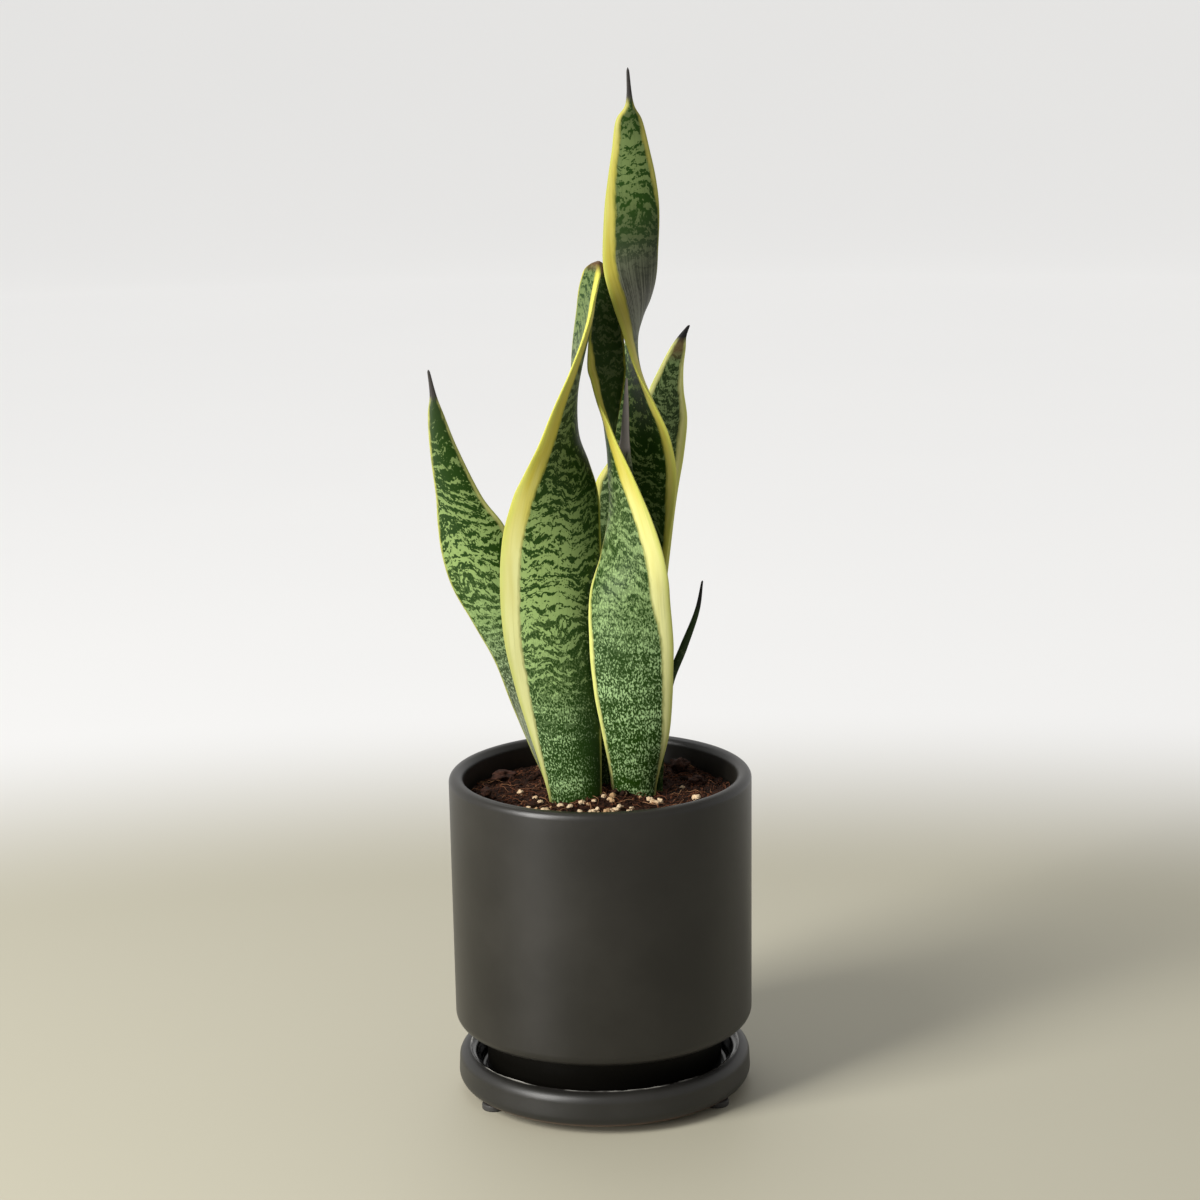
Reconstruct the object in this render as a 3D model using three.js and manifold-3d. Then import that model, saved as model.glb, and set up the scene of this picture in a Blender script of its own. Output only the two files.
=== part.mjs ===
// Snake plant with yellow-edged leaves, in a cylindrical ceramic pot on its own saucer.
// Millimetres, +Z up. The object stands on three foot pads, and its origin is the centre
// of the bottom of its bounding box.

import * as THREE from 'three';
import { mergeVertices } from 'three/addons/utils/BufferGeometryUtils.js';
import Module from 'manifold-3d';

const wasm = await Module();
wasm.setup();

// Driving dimensions.
const clearance = 0.3; // between pieces that touch
const roundSegments = 48;

const padRadius = 5;
const padHeight = 2.7;
const padInset = 7; // pad axis, in from the saucer's widest radius
const padAngles = [-32, 90, 212];

const saucerInset = 1.3; // how far the saucer's side stands in from the pot's
const saucerHeight = 14.7;
const saucerFloor = 4;
const saucerLipRadius = 4;
const saucerBulge = 0.3; // widest part of the side, out from its top
const saucerDraft = 0.4; // how much the trough narrows towards its floor
const saucerBottomRounding = 5;
const saucerCornerRadius = 2.5;

const potRadius = 63.5;
const potTaper = 0.5; // how much narrower the pot is at the bottom
const potHeight = 108.5;
const potWall = 6.2;
const potFloor = 6;
const potBottomRounding = 5.5;
const potCornerRadius = 8; // inside, between wall and floor
const potLift = 11.8; // from the saucer's crest up to the pot's underside
const footRingInset = 13.5; // from the pot's side in to the foot ring
const footRingWall = 5;
const drainRadius = 6;

const soilDepthBelowRim = 11;
const soilUnevenness = 0.7;
const moundHeight = 3.2; // of the soil drawn up round the leaves
const moundSpread = 24;

const rhizomeRadius = 6;
const rhizomeDepth = 26; // its axis below the soil's surface

const plantHeight = 301; // tip of the tallest leaf above the soil
const drawnPlantHeight = 301; // the height that the leaf stations below are written for
const leafThickness = 3;
const socketGap = 0.6; // between a leaf and the soil round its foot
const leafSides = 10;
const leafSteps = 32;

const pocketGap = 0.45; // between a lump and the soil that it lies in
const pumiceFlatness = 0.85; // height of a lump over its size
const barkFlatness = 0.8;

// Sizes that follow from the driving dimensions.
const plantScale = plantHeight / drawnPlantHeight;
const saucerRadius = potRadius - saucerInset;
const saucerBottom = padHeight + clearance;
const saucerTop = saucerBottom + saucerHeight;
const potBottom = saucerTop + potLift;
const potTop = potBottom + potHeight;
const soilLevel = potTop - soilDepthBelowRim;
const potInnerRadius = potRadius - potTaper - potWall;
const footRingRadius = potRadius - footRingInset;
const soilRadius = potInnerRadius - clearance;

// Leaves, each a list of stations from below the soil up to the tip:
// height above the soil, x, y, half width, direction of the width in degrees, and how far
// each half curls round in degrees (positive curls away from -Y where the direction is 0).
const leaves = [
  {
    name: 'leaf_front_left',
    color: 0x4f7a45,
    stations: [
      [2, -10.4, -10, 11.8, 2, 36],
      [44, -15.8, -9, 18.2, 4, 34],
      [65, -17.8, -8.5, 21, 6, 34],
      [86, -18.2, -8, 22.3, 8, 34],
      [108, -17.2, -9, 22, 12, 32],
      [128, -14.2, -11, 20.6, 26, 31],
      [141, -12.3, -12, 18.6, 43, 30],
      [153, -10.9, -13, 17.4, 62, 29],
      [170, -8.6, -14, 15.2, 77, 28],
      [184, -5.8, -14, 13.4, 90, 26],
      [202, -2, -14, 11.2, 103, 24],
      [212, -0.9, -14, 9.2, 110, 20],
      [219, 0.2, -13.5, 6.8, 119, 16],
      [223, 0.9, -13.5, 4, 135, 10],
      [226, 3.2, -13, 0.7, 140, 5],
    ],
  },
  {
    name: 'leaf_front_right',
    color: 0x557f4a,
    stations: [
      [2, 14, -3, 9.8, -3, 34],
      [26, 14.9, -9.5, 14.3, -4, 30],
      [45, 14.1, -12.5, 16.8, -5, 27],
      [67, 13.3, -14.5, 18, -8, 24],
      [88, 12.4, -15, 17.6, -16, 24],
      [104, 12.7, -13.5, 17, -37, 26],
      [121, 11.4, -11, 16, -56, 27],
      [137, 8.3, -8, 14.2, -69, 28],
      [152, 6, -5, 12.7, -88, 28],
      [160, 5.3, -3, 11.8, -100, 28],
      [168, 4.6, -1, 11, -117, 27],
      [176, 4.7, 1, 10.3, -134, 26],
      [184, 4.4, 2.5, 9.6, -146, 25],
      [208, 4.9, 5, 6.4, -148, 18],
      [223.5, 4, 6, 0.7, -150, 5],
    ],
  },
  {
    name: 'leaf_left',
    color: 0x3f6a3c,
    stations: [
      [2, -14, 1, 8.5, 8, 36],
      [20, -19.5, 1, 9.6, 8, 36],
      [40, -25, 1, 12, 6, 34],
      [58, -30, 1.5, 13.5, 4, 30],
      [74, -36.5, 2, 15.5, 2, 26],
      [90, -44, 2.5, 16.8, 0, 24],
      [104, -48.5, 3, 16, 0, 22],
      [116, -51.8, 3.5, 13.8, 0, 20],
      [128, -56.3, 4, 9.6, 0, 18],
      [148, -62, 5, 5.8, 0, 14],
      [162, -64.9, 6, 3.3, 0, 10],
      [170, -65.8, 6.5, 1.4, 0, 5],
      [180.5, -67.6, 7, 0.5, 0, 0],
    ],
  },
  {
    name: 'leaf_tall',
    color: 0x41683f,
    stations: [
      [2, 12.5, 18, 10, -10, -36],
      [50, 14, 18, 13, -8, -34],
      [98, 16.5, 17, 14.3, -8, -32],
      [131, 20.6, 15, 15, -14, -30],
      [150, 20.3, 13, 15, -28, -28],
      [166, 18.3, 11, 14.5, -50, -26],
      [180, 17, 9, 14.3, -74, -25],
      [192, 16.8, 8, 14, -93, -24],
      [200, 17, 7.5, 13.6, -108, -23],
      [208, 17, 7.5, 13.2, -125, -20],
      [224, 16.5, 7.5, 12.3, -158, -17],
      [244, 16.9, 8, 11.4, -172, -14],
      [256, 17, 8, 10, -174, -13],
      [268, 16.7, 8, 7.8, -172, -10],
      [280, 16.1, 8, 5.4, -170, -8],
      [287, 16.4, 8, 1.6, -170, -4],
      [301, 15.8, 8, 0.5, -170, 0],
    ],
  },
  {
    name: 'leaf_right_back',
    color: 0x4a7446,
    stations: [
      [2, 14, 27, 8, 10, -36],
      [60, 17, 29, 10, 10, -30],
      [100, 20.6, 31, 11, 8, -24],
      [124, 23.7, 32.5, 11.2, 6, -20],
      [139, 26.2, 33, 11.4, 6, -18],
      [154, 28.3, 34, 10.8, 4, -16],
      [166.5, 30.4, 34.5, 7.4, 2, -12],
      [175.5, 32.7, 35, 5.1, 0, -10],
      [183.5, 35.4, 35.5, 3.4, 0, -8],
      [188.5, 37.4, 36, 1.8, 0, -4],
      [193.3, 40.3, 36, 0.5, 0, 0],
    ],
  },
  {
    name: 'leaf_inner',
    color: 0x5a7a5a,
    stations: [
      [2, 6, 8, 7.5, -10, -34],
      [60, 7, 10, 9.5, -12, -30],
      [105, 8.5, 11, 9.5, -16, -24],
      [118, 8, 11, 9.4, -20, -20],
      [131, 8.5, 11, 8.6, -22, -16],
      [140, 10.5, 10, 5.4, -22, -12],
      [149, 12.4, 8, 2.2, -22, -4],
      [162, 13, 4, 1.4, -22, 0],
      [177, 13.6, 0, 0.4, -22, 0],
    ],
  },
  {
    name: 'leaf_shoot',
    color: 0x2e4030,
    stations: [
      [2, 23, 5, 3.4, -10, 0],
      [24, 25, 4.5, 3, -10, 0],
      [46, 29.2, 4, 2, -10, 0],
      [62, 35.4, 4, 1.8, -10, 0],
      [78, 41.4, 4, 1.1, -10, 0],
      [91, 43.8, 4, 0.4, -10, 0],
    ],
  },
];

// Pumice granules round the leaves' feet: x, y, size, turn in degrees.
const pumice = [
  [-34, 5.5, 3.4, 20],
  [-27.5, -4, 2.6, 75],
  [-25, -9.5, 2.5, 130],
  [-23, -22.5, 4, 10],
  [-16.5, -16, 3, 55],
  [-12.5, -19.5, 3, 100],
  [-7.5, -15.5, 3, 145],
  [-2.5, -14, 2.2, 35],
  [1.5, -9.5, 2.6, 80],
  [-8.5, -25.5, 2.6, 160],
  [-3, -24, 2.4, 25],
  [2, -28, 2.8, 65],
  [-30, -18, 2.3, 110],
  [20.5, -9.5, 3, 50],
  [40, -7, 4.2, 85],
  [35, 10, 2.4, 120],
];

// Bark chunks near the wall: x and y as shares of the soil's radius, size, turn in degrees.
const bark = [
  [-0.73, 0.45, 9, 30],
  [-0.85, 0.02, 6, 100],
  [0.62, 0.58, 9, 65],
  [0.72, 0.3, 6, 10],
];

// Which leaves' feet the creeping stem runs between.
const rhizomeLinks = [
  ['leaf_left', 'leaf_front_left'],
  ['leaf_front_left', 'leaf_front_right'],
  ['leaf_front_right', 'leaf_shoot'],
  ['leaf_front_right', 'leaf_inner'],
  ['leaf_inner', 'leaf_tall'],
  ['leaf_tall', 'leaf_right_back'],
];

function standard(color, roughness, metalness = 0) {
  return new THREE.MeshStandardMaterial({ color, roughness, metalness });
}

const potMaterial = standard(0x2b2a2a, 0.55);
const saucerMaterial = standard(0x1f1e1e, 0.35);
const padMaterial = standard(0x1a1a1a, 0.8);
const soilMaterial = standard(0x3a241b, 0.95);
const barkMaterial = standard(0x4a2c1e, 0.9);
const pumiceMaterial = standard(0xd8c9ae, 0.85);
const rhizomeMaterial = standard(0xc9b58a, 0.7);

function toSolid(geometry) {
  const bare = geometry.clone();
  bare.deleteAttribute('normal');
  bare.deleteAttribute('uv');
  const merged = mergeVertices(bare);
  const vertProperties = Float32Array.from(merged.attributes.position.array);
  const triVerts = Uint32Array.from(merged.index.array);
  return new wasm.Manifold(new wasm.Mesh({ numProp: 3, vertProperties, triVerts }));
}

function toGeometry(solid) {
  const mesh = solid.getMesh();
  const geometry = new THREE.BufferGeometry();
  geometry.setAttribute('position', new THREE.BufferAttribute(mesh.vertProperties, 3));
  geometry.setIndex(new THREE.BufferAttribute(mesh.triVerts, 1));
  geometry.computeVertexNormals();
  return geometry;
}

// Points on an arc, angles in degrees, in the plane of radius and height.
function arc(radius, height, size, from, to, steps) {
  const points = [];
  for (let i = 0; i <= steps; i += 1) {
    const angle = THREE.MathUtils.degToRad(from + ((to - from) * i) / steps);
    points.push(new THREE.Vector2(radius + size * Math.cos(angle), height + size * Math.sin(angle)));
  }
  return points;
}

function turned(profile) {
  const geometry = new THREE.LatheGeometry(profile, roundSegments);
  geometry.rotateX(Math.PI / 2);
  return geometry;
}

function padGeometry() {
  const geometry = new THREE.CylinderGeometry(padRadius, padRadius, padHeight, 24);
  geometry.rotateX(Math.PI / 2);
  geometry.translate(0, 0, padHeight / 2);
  return geometry;
}

function saucerGeometry() {
  const lip = saucerRadius - saucerLipRadius - saucerBulge;
  const lipHeight = saucerTop - saucerLipRadius;
  const floorTop = saucerBottom + saucerFloor;
  const trough = lip - saucerLipRadius - saucerDraft;
  const rounding = Math.min(saucerCornerRadius, trough - footRingRadius - clearance);
  const side = saucerRadius - saucerBottomRounding;
  const profile = [
    new THREE.Vector2(0, saucerBottom),
    ...arc(side, saucerBottom + saucerBottomRounding, saucerBottomRounding, -90, 0, 5),
    ...arc(lip, lipHeight, saucerLipRadius, 0, 180, 8),
    ...arc(trough - rounding, floorTop + rounding, rounding, 0, -90, 3),
    new THREE.Vector2(0, floorTop),
  ];
  return turned(profile);
}

function potGeometry() {
  const side = potRadius - potTaper - potBottomRounding;
  const corner = potInnerRadius - potCornerRadius;
  const floorTop = potBottom + potFloor;
  const ringInner = footRingRadius - footRingWall;
  const ringBottom = saucerBottom + saucerFloor + clearance;
  const lip = potWall / 2;
  const profile = [
    new THREE.Vector2(drainRadius, potBottom),
    new THREE.Vector2(ringInner, potBottom),
    new THREE.Vector2(ringInner, ringBottom),
    new THREE.Vector2(footRingRadius, ringBottom),
    new THREE.Vector2(footRingRadius, potBottom),
    ...arc(side, potBottom + potBottomRounding, potBottomRounding, -90, 0, 5),
    ...arc(potRadius - lip, potTop - lip, lip, 0, 180, 8),
    ...arc(corner, floorTop + potCornerRadius, potCornerRadius, 0, -90, 4),
    new THREE.Vector2(drainRadius, floorTop),
    new THREE.Vector2(drainRadius, potBottom),
  ];
  return turned(profile);
}

// Height of the soil's surface at a place, above its mean level.
function soilRelief(x, y) {
  const waves = Math.sin(x / 9 + 1) * Math.cos(y / 11) + 0.6 * Math.sin(x / 5 - y / 6);
  const fromMound = Math.hypot(x, y - moundSpread / 2) / moundSpread;
  return soilUnevenness * waves + moundHeight * Math.exp(-fromMound * fromMound);
}

function soilBlank() {
  const bottom = potBottom + potFloor + clearance;
  const corner = soilRadius - potCornerRadius;
  const rings = 7;
  const profile = [
    new THREE.Vector2(0, bottom),
    ...arc(corner, bottom + potCornerRadius, potCornerRadius, -90, 0, 4),
  ];
  for (let i = rings; i >= 0; i -= 1) {
    profile.push(new THREE.Vector2((soilRadius * i) / rings, soilLevel));
  }
  const geometry = turned(profile);
  const position = geometry.attributes.position;
  for (let i = 0; i < position.count; i += 1) {
    if (position.getZ(i) > soilLevel - 0.01) {
      position.setZ(i, soilLevel + soilRelief(position.getX(i), position.getY(i)));
    }
  }
  return geometry;
}

// A leaf's centre line and its section's values, interpolated between its stations.
function leafCurves(leaf) {
  const foot = [-rhizomeDepth + rhizomeRadius + clearance, ...leaf.stations[0].slice(1)];
  const rows = [foot, ...leaf.stations];
  const centre = rows.map(([up, x, y], i) => {
    const height = i === 0 ? up : up * plantScale;
    return new THREE.Vector3(x * plantScale, y * plantScale, soilLevel + height);
  });
  const section = rows.map(([, , , half, turn, curl]) => new THREE.Vector3(half * plantScale, turn, curl));
  return {
    centre: new THREE.CatmullRomCurve3(centre, false, 'catmullrom'),
    section: new THREE.CatmullRomCurve3(section, false, 'catmullrom'),
  };
}

// A leaf as rings of points from foot to tip. Grown by a gap it cuts its own socket
// in the soil.
function leafGeometry(leaf, grow = 0) {
  const { centre, section } = leafCurves(leaf);
  const positions = [];
  const index = [];
  for (let i = 0; i <= leafSteps; i += 1) {
    const t = i / leafSteps;
    const middle = centre.getPoint(t);
    const along = centre.getTangent(t);
    const { x: half, y: turn, z: curl } = section.getPoint(t);
    const angle = THREE.MathUtils.degToRad(turn);
    const across = new THREE.Vector3(Math.cos(angle), Math.sin(angle), 0);
    const back = new THREE.Vector3().crossVectors(along, across).normalize();
    const curve = THREE.MathUtils.degToRad(Math.abs(curl) < 1 ? 1 : curl) / half;
    const thick = Math.min(leafThickness * plantScale, half * 1.2) / 2;
    if (i === 0) {
      middle.z -= grow;
    }
    for (let j = 0; j < leafSides; j += 1) {
      const a = (2 * Math.PI * j) / leafSides;
      const bend = curve * (half + grow) * Math.cos(a);
      const off = (thick + grow) * Math.sin(a);
      const reach = Math.sin(bend) / curve - off * Math.sin(bend);
      const depth = (1 - Math.cos(bend)) / curve + off * Math.cos(bend);
      const point = middle.clone().addScaledVector(across, reach).addScaledVector(back, depth);
      positions.push(point.x, point.y, point.z);
    }
  }
  for (let i = 0; i < leafSteps; i += 1) {
    for (let j = 0; j < leafSides; j += 1) {
      const a = i * leafSides + j;
      const b = i * leafSides + ((j + 1) % leafSides);
      index.push(a, b, b + leafSides, a, b + leafSides, a + leafSides);
    }
  }
  // Each end is closed by strips that run between the leaf's two faces.
  const top = leafSteps * leafSides;
  for (let a = 0; a < leafSides / 2; a += 1) {
    const b = a + 1;
    const c = leafSides - a - 1;
    const d = leafSides - a;
    if (b < c) {
      index.push(a, c, b, top + a, top + b, top + c);
    }
    if (a > 0) {
      index.push(a, d, c, top + a, top + c, top + d);
    }
  }
  const geometry = new THREE.BufferGeometry();
  geometry.setAttribute('position', new THREE.Float32BufferAttribute(positions, 3));
  geometry.setIndex(index);
  geometry.computeVertexNormals();
  return geometry;
}

// The creeping stem under the soil, with the leaves' feet standing on it.
function rhizomeSolid(radius) {
  const feet = {};
  for (const { name, stations } of leaves) {
    const [, x, y] = stations[0];
    feet[name] = new THREE.Vector3(x * plantScale, y * plantScale, soilLevel - rhizomeDepth);
  }
  const up = new THREE.Vector3(0, 1, 0);
  const links = rhizomeLinks.map(([from, to]) => {
    const run = feet[to].clone().sub(feet[from]);
    const geometry = new THREE.CapsuleGeometry(radius, run.length(), 2, 8);
    const turn = new THREE.Quaternion().setFromUnitVectors(up, run.clone().normalize());
    geometry.applyQuaternion(turn);
    const middle = feet[from].clone().addScaledVector(run, 0.5);
    return toSolid(geometry.translate(middle.x, middle.y, middle.z));
  });
  return links.reduce((joined, link) => joined.add(link));
}

// An irregular lump, its lower part sunk into the soil.
function lumpGeometry(x, y, size, turn, flatness, detail, grow = 0) {
  const geometry = new THREE.IcosahedronGeometry(0.5, detail);
  const position = geometry.attributes.position;
  for (let i = 0; i < position.count; i += 1) {
    const p = new THREE.Vector3().fromBufferAttribute(position, i);
    const bump = 1 + 0.16 * Math.sin(7 * p.x + turn) + 0.12 * Math.cos(9 * p.y + 5 * p.z + size);
    p.multiplyScalar(bump * (size + 2 * grow));
    position.setXYZ(i, p.x * 1.15, p.y * 0.9, p.z * flatness);
  }
  geometry.rotateZ(THREE.MathUtils.degToRad(turn));
  geometry.translate(x, y, soilLevel + soilRelief(x, y) + size * flatness * 0.22);
  return toGeometry(toSolid(geometry));
}

const group = new THREE.Group();

function addPiece(name, geometry, material) {
  const mesh = new THREE.Mesh(geometry, material);
  mesh.name = name;
  group.add(mesh);
  return mesh;
}

// Adds the pumice and bark, and gives the pocket that each needs in the soil.
function addLumps() {
  const pockets = [];
  pumice.forEach(([x, y, size, turn], i) => {
    const place = [x * plantScale, y * plantScale];
    const geometry = lumpGeometry(...place, size, turn, pumiceFlatness, 0);
    addPiece(`pumice_${i + 1}`, geometry, pumiceMaterial);
    pockets.push(toSolid(lumpGeometry(...place, size, turn, pumiceFlatness, 0, pocketGap)));
  });
  bark.forEach(([across, back, size, turn], i) => {
    const place = [across * soilRadius, back * soilRadius];
    const geometry = lumpGeometry(...place, size, turn, barkFlatness, 1);
    addPiece(`bark_chunk_${i + 1}`, geometry, barkMaterial);
    pockets.push(toSolid(lumpGeometry(...place, size, turn, barkFlatness, 1, pocketGap)));
  });
  return pockets;
}

padAngles.forEach((degrees, i) => {
  const pad = addPiece(`foot_pad_${i + 1}`, padGeometry(), padMaterial);
  const angle = THREE.MathUtils.degToRad(degrees);
  pad.position.x = (saucerRadius - padInset) * Math.cos(angle);
  pad.position.y = (saucerRadius - padInset) * Math.sin(angle);
});

addPiece('saucer', saucerGeometry(), saucerMaterial);
addPiece('pot', potGeometry(), potMaterial);

let soil = toSolid(soilBlank());
for (const leaf of leaves) {
  soil = soil.subtract(toSolid(leafGeometry(leaf, socketGap)));
  addPiece(leaf.name, leafGeometry(leaf), standard(leaf.color, 0.5));
}
soil = soil.subtract(rhizomeSolid(rhizomeRadius + clearance));
addPiece('rhizome', toGeometry(rhizomeSolid(rhizomeRadius)), rhizomeMaterial);
for (const lump of addLumps()) {
  soil = soil.subtract(lump);
}
addPiece('soil', toGeometry(soil), soilMaterial);

// The origin goes to the centre of the bottom of the bounding box.
const bounds = new THREE.Box3().setFromObject(group);
const middle = bounds.getCenter(new THREE.Vector3());
group.position.set(-middle.x, -middle.y, -bounds.min.z);

export default group;
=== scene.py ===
import math
import random
import bmesh
import bpy
import numpy as np
from mathutils import Matrix, Vector, noise


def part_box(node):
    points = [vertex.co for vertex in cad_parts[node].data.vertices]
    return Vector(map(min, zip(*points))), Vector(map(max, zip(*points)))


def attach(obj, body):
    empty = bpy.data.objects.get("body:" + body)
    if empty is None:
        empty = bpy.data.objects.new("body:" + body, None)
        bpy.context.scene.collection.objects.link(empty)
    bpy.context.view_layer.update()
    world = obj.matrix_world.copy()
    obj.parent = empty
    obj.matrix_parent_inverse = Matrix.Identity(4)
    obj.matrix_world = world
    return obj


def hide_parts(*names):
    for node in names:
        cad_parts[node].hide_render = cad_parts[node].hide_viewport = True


# Snake plant in a black ceramic pot on its saucer. Metres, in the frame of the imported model.

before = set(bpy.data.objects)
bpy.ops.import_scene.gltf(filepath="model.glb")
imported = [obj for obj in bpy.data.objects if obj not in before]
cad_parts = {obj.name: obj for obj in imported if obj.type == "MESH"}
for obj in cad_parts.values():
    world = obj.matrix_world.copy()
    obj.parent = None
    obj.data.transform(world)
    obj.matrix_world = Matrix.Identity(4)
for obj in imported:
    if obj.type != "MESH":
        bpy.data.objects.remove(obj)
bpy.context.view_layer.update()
mm = 0.001

potLow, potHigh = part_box("pot")
potAxis = Vector(((potLow.x + potHigh.x) / 2, (potLow.y + potHigh.y) / 2, 0))
potRadius = (potHigh.x - potLow.x) / 2
rimTop = potHigh.z
soilTop = rimTop - 11 * mm  # mean level of the soil


def newPiece(name, mesh, slot, material, *nodes):
    piece = bpy.data.objects.new(name, mesh)
    bpy.context.scene.collection.objects.link(piece)
    mesh.materials.append(material)
    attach(piece, "root")
    if nodes:
        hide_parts(*nodes)
    return piece


def meshFrom(name, points, faces, smooth=True):
    mesh = bpy.data.meshes.new(name)
    mesh.from_pydata([tuple(p) for p in points], [], faces)
    mesh.validate()
    mesh.polygons.foreach_set("use_smooth", [smooth] * len(mesh.polygons))
    mesh.update()
    return mesh


def paint(mesh, name, values):
    layer = mesh.attributes.new(name, "FLOAT", "POINT")
    layer.data.foreach_set("value", np.asarray(values, np.float32).ravel())


class Shader:
    # a thin wrapper that adds and wires nodes
    def __init__(self, name):
        self.material = bpy.data.materials.new(name)
        self.material.use_nodes = True
        self.tree = self.material.node_tree
        self.skin = self.tree.nodes["Principled BSDF"]

    def add(self, kind, inputs=None, **settings):
        node = self.tree.nodes.new("ShaderNode" + kind)
        for key, value in settings.items():
            setattr(node, key, value)
        for key, value in (inputs or {}).items():
            if isinstance(value, bpy.types.NodeSocket):
                self.tree.links.new(value, node.inputs[key])
            else:
                node.inputs[key].default_value = value
        return node

    def attr(self, name):
        return self.add("Attribute", attribute_name=name).outputs["Fac"]

    def place(self):
        return self.add("NewGeometry").outputs["Position"]

    def math(self, operation, a, b=0.0, clamp=False):
        return self.add("Math", {0: a, 1: b}, operation=operation, use_clamp=clamp).outputs[0]

    def vector(self, x, y, z):
        return self.add("CombineXYZ", {0: x, 1: y, 2: z}).outputs[0]

    def noise(self, vector, scale, detail=2.0, roughness=0.5, distortion=0.0):
        values = {"Vector": vector, "Scale": scale, "Detail": detail, "Roughness": roughness,
                  "Distortion": distortion}
        return self.add("TexNoise", values).outputs["Fac"]

    def step(self, value, low, high):
        # 0 below low, 1 above high, smooth between
        return self.add("MapRange", {"Value": value, "From Min": low, "From Max": high},
                        interpolation_type="SMOOTHSTEP").outputs[0]

    def span(self, value, low, high, toLow, toHigh):
        return self.add("MapRange", {"Value": value, "From Min": low, "From Max": high,
                                     "To Min": toLow, "To Max": toHigh}).outputs[0]

    def mix(self, share, a, b, blend="MIX"):
        node = self.add("Mix", data_type="RGBA", blend_type=blend)
        for key, value in ((0, share), (6, a), (7, b)):
            if isinstance(value, bpy.types.NodeSocket):
                self.tree.links.new(value, node.inputs[key])
            elif key == 0:
                node.inputs[0].default_value = value
            else:
                node.inputs[key].default_value = (*value, 1)
        return node.outputs[2]

    def bump(self, height, strength, distance):
        node = self.add("Bump", {"Height": height, "Strength": strength, "Distance": distance})
        return node.outputs[0]

    def link(self, **sockets):
        for key, value in sockets.items():
            target = self.skin.inputs[key.replace("_", " ")]
            if isinstance(value, bpy.types.NodeSocket):
                self.tree.links.new(value, target)
            else:
                target.default_value = value


def lathe(name, profile, segments):
    # profile: (radius, height) from the axis round to the axis again, or a closed ring
    onAxis = profile[0][0] < 1e-9
    points = []
    rings = []
    for radius, height in profile:
        if radius < 1e-9:
            rings.append([len(points)] * segments)
            points.append((potAxis.x, potAxis.y, height))
            continue
        rings.append(list(range(len(points), len(points) + segments)))
        for i in range(segments):
            angle = 2 * math.pi * i / segments
            points.append((potAxis.x + radius * math.cos(angle),
                           potAxis.y + radius * math.sin(angle), height))
    faces = []
    pairs = list(zip(rings, rings[1:]))
    if not onAxis:
        pairs.append((rings[-1], rings[0]))
    for low, high in pairs:
        for i in range(segments):
            j = (i + 1) % segments
            corners = [low[i], low[j], high[j], high[i]]
            face = [c for k, c in enumerate(corners) if c not in corners[:k]]
            if len(face) > 2:
                faces.append(face)
    return meshFrom(name, points, faces)


def arc(radius, height, size, start, end, steps):
    turns = [math.radians(start + (end - start) * i / steps) for i in range(steps + 1)]
    return [(radius + size * math.cos(a), height + size * math.sin(a)) for a in turns]


def line(start, end, steps):
    # points between two profile points, without the ends
    return [(start[0] + (end[0] - start[0]) * i / steps, start[1] + (end[1] - start[1]) * i / steps)
            for i in range(1, steps)]


camera = {
    "ahead": 1198.9,  # from the pot's axis, mm
    "aside": 1.2,
    "height": 482.7,
    "pitch": 12.754,
    "roll": -0.953,
    "lens": 89.1,
}

lamps = [
    # name, where from (azimuth from -Y towards -X, elevation), distance, size, watts, colour
    {"name": "keyLamp", "azimuth": 54, "elevation": 33, "far": 1.8, "size": (0.7, 1.1), "power": 49,
     "color": (1.0, 0.985, 0.955)},
    {"name": "lowLamp", "azimuth": 49, "elevation": 7, "far": 1.9, "size": (0.25, 0.36), "power": 16,
     "color": (1.0, 0.985, 0.955)},
    {"name": "topLamp", "azimuth": 165, "elevation": 60, "far": 1.9, "size": (1.2, 1.2), "power": 9,
     "color": (1.0, 1.0, 1.0)},
]

studio = {
    "floorRadius": 3.0,
    "wallRadius": 3.8,
    "wallHeight": 3.0,
    "floorColor": (0.375, 0.355, 0.275),
    "wallColor": (0.20, 0.198, 0.193),
    "wallGlow": 0.62,
    "frontGlow": 0.55,  # the wall is dimmer in front of the plant
    "beigeTo": 0.27,  # the floor turns white between these distances behind the pot, m
    "whiteFrom": 0.62,
    "roundness": 0.55,
    "world": (1.0, 1.0, 1.0),
    "worldPower": 0.30,
}


def makeCamera():
    data = bpy.data.cameras.new("camera")
    data.lens = camera["lens"]
    data.sensor_width = 36
    data.clip_start = 0.05
    data.clip_end = 50
    view = bpy.data.objects.new("camera", data)
    bpy.context.scene.collection.objects.link(view)
    tilt = Matrix.Rotation(math.radians(90 - camera["pitch"]), 4, "X")
    roll = Matrix.Rotation(math.radians(camera["roll"]), 4, "Z")
    spot = Vector((camera["aside"], -camera["ahead"], camera["height"])) * mm + potAxis
    view.matrix_world = Matrix.Translation(spot) @ tilt @ roll
    bpy.context.scene.camera = view


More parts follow.
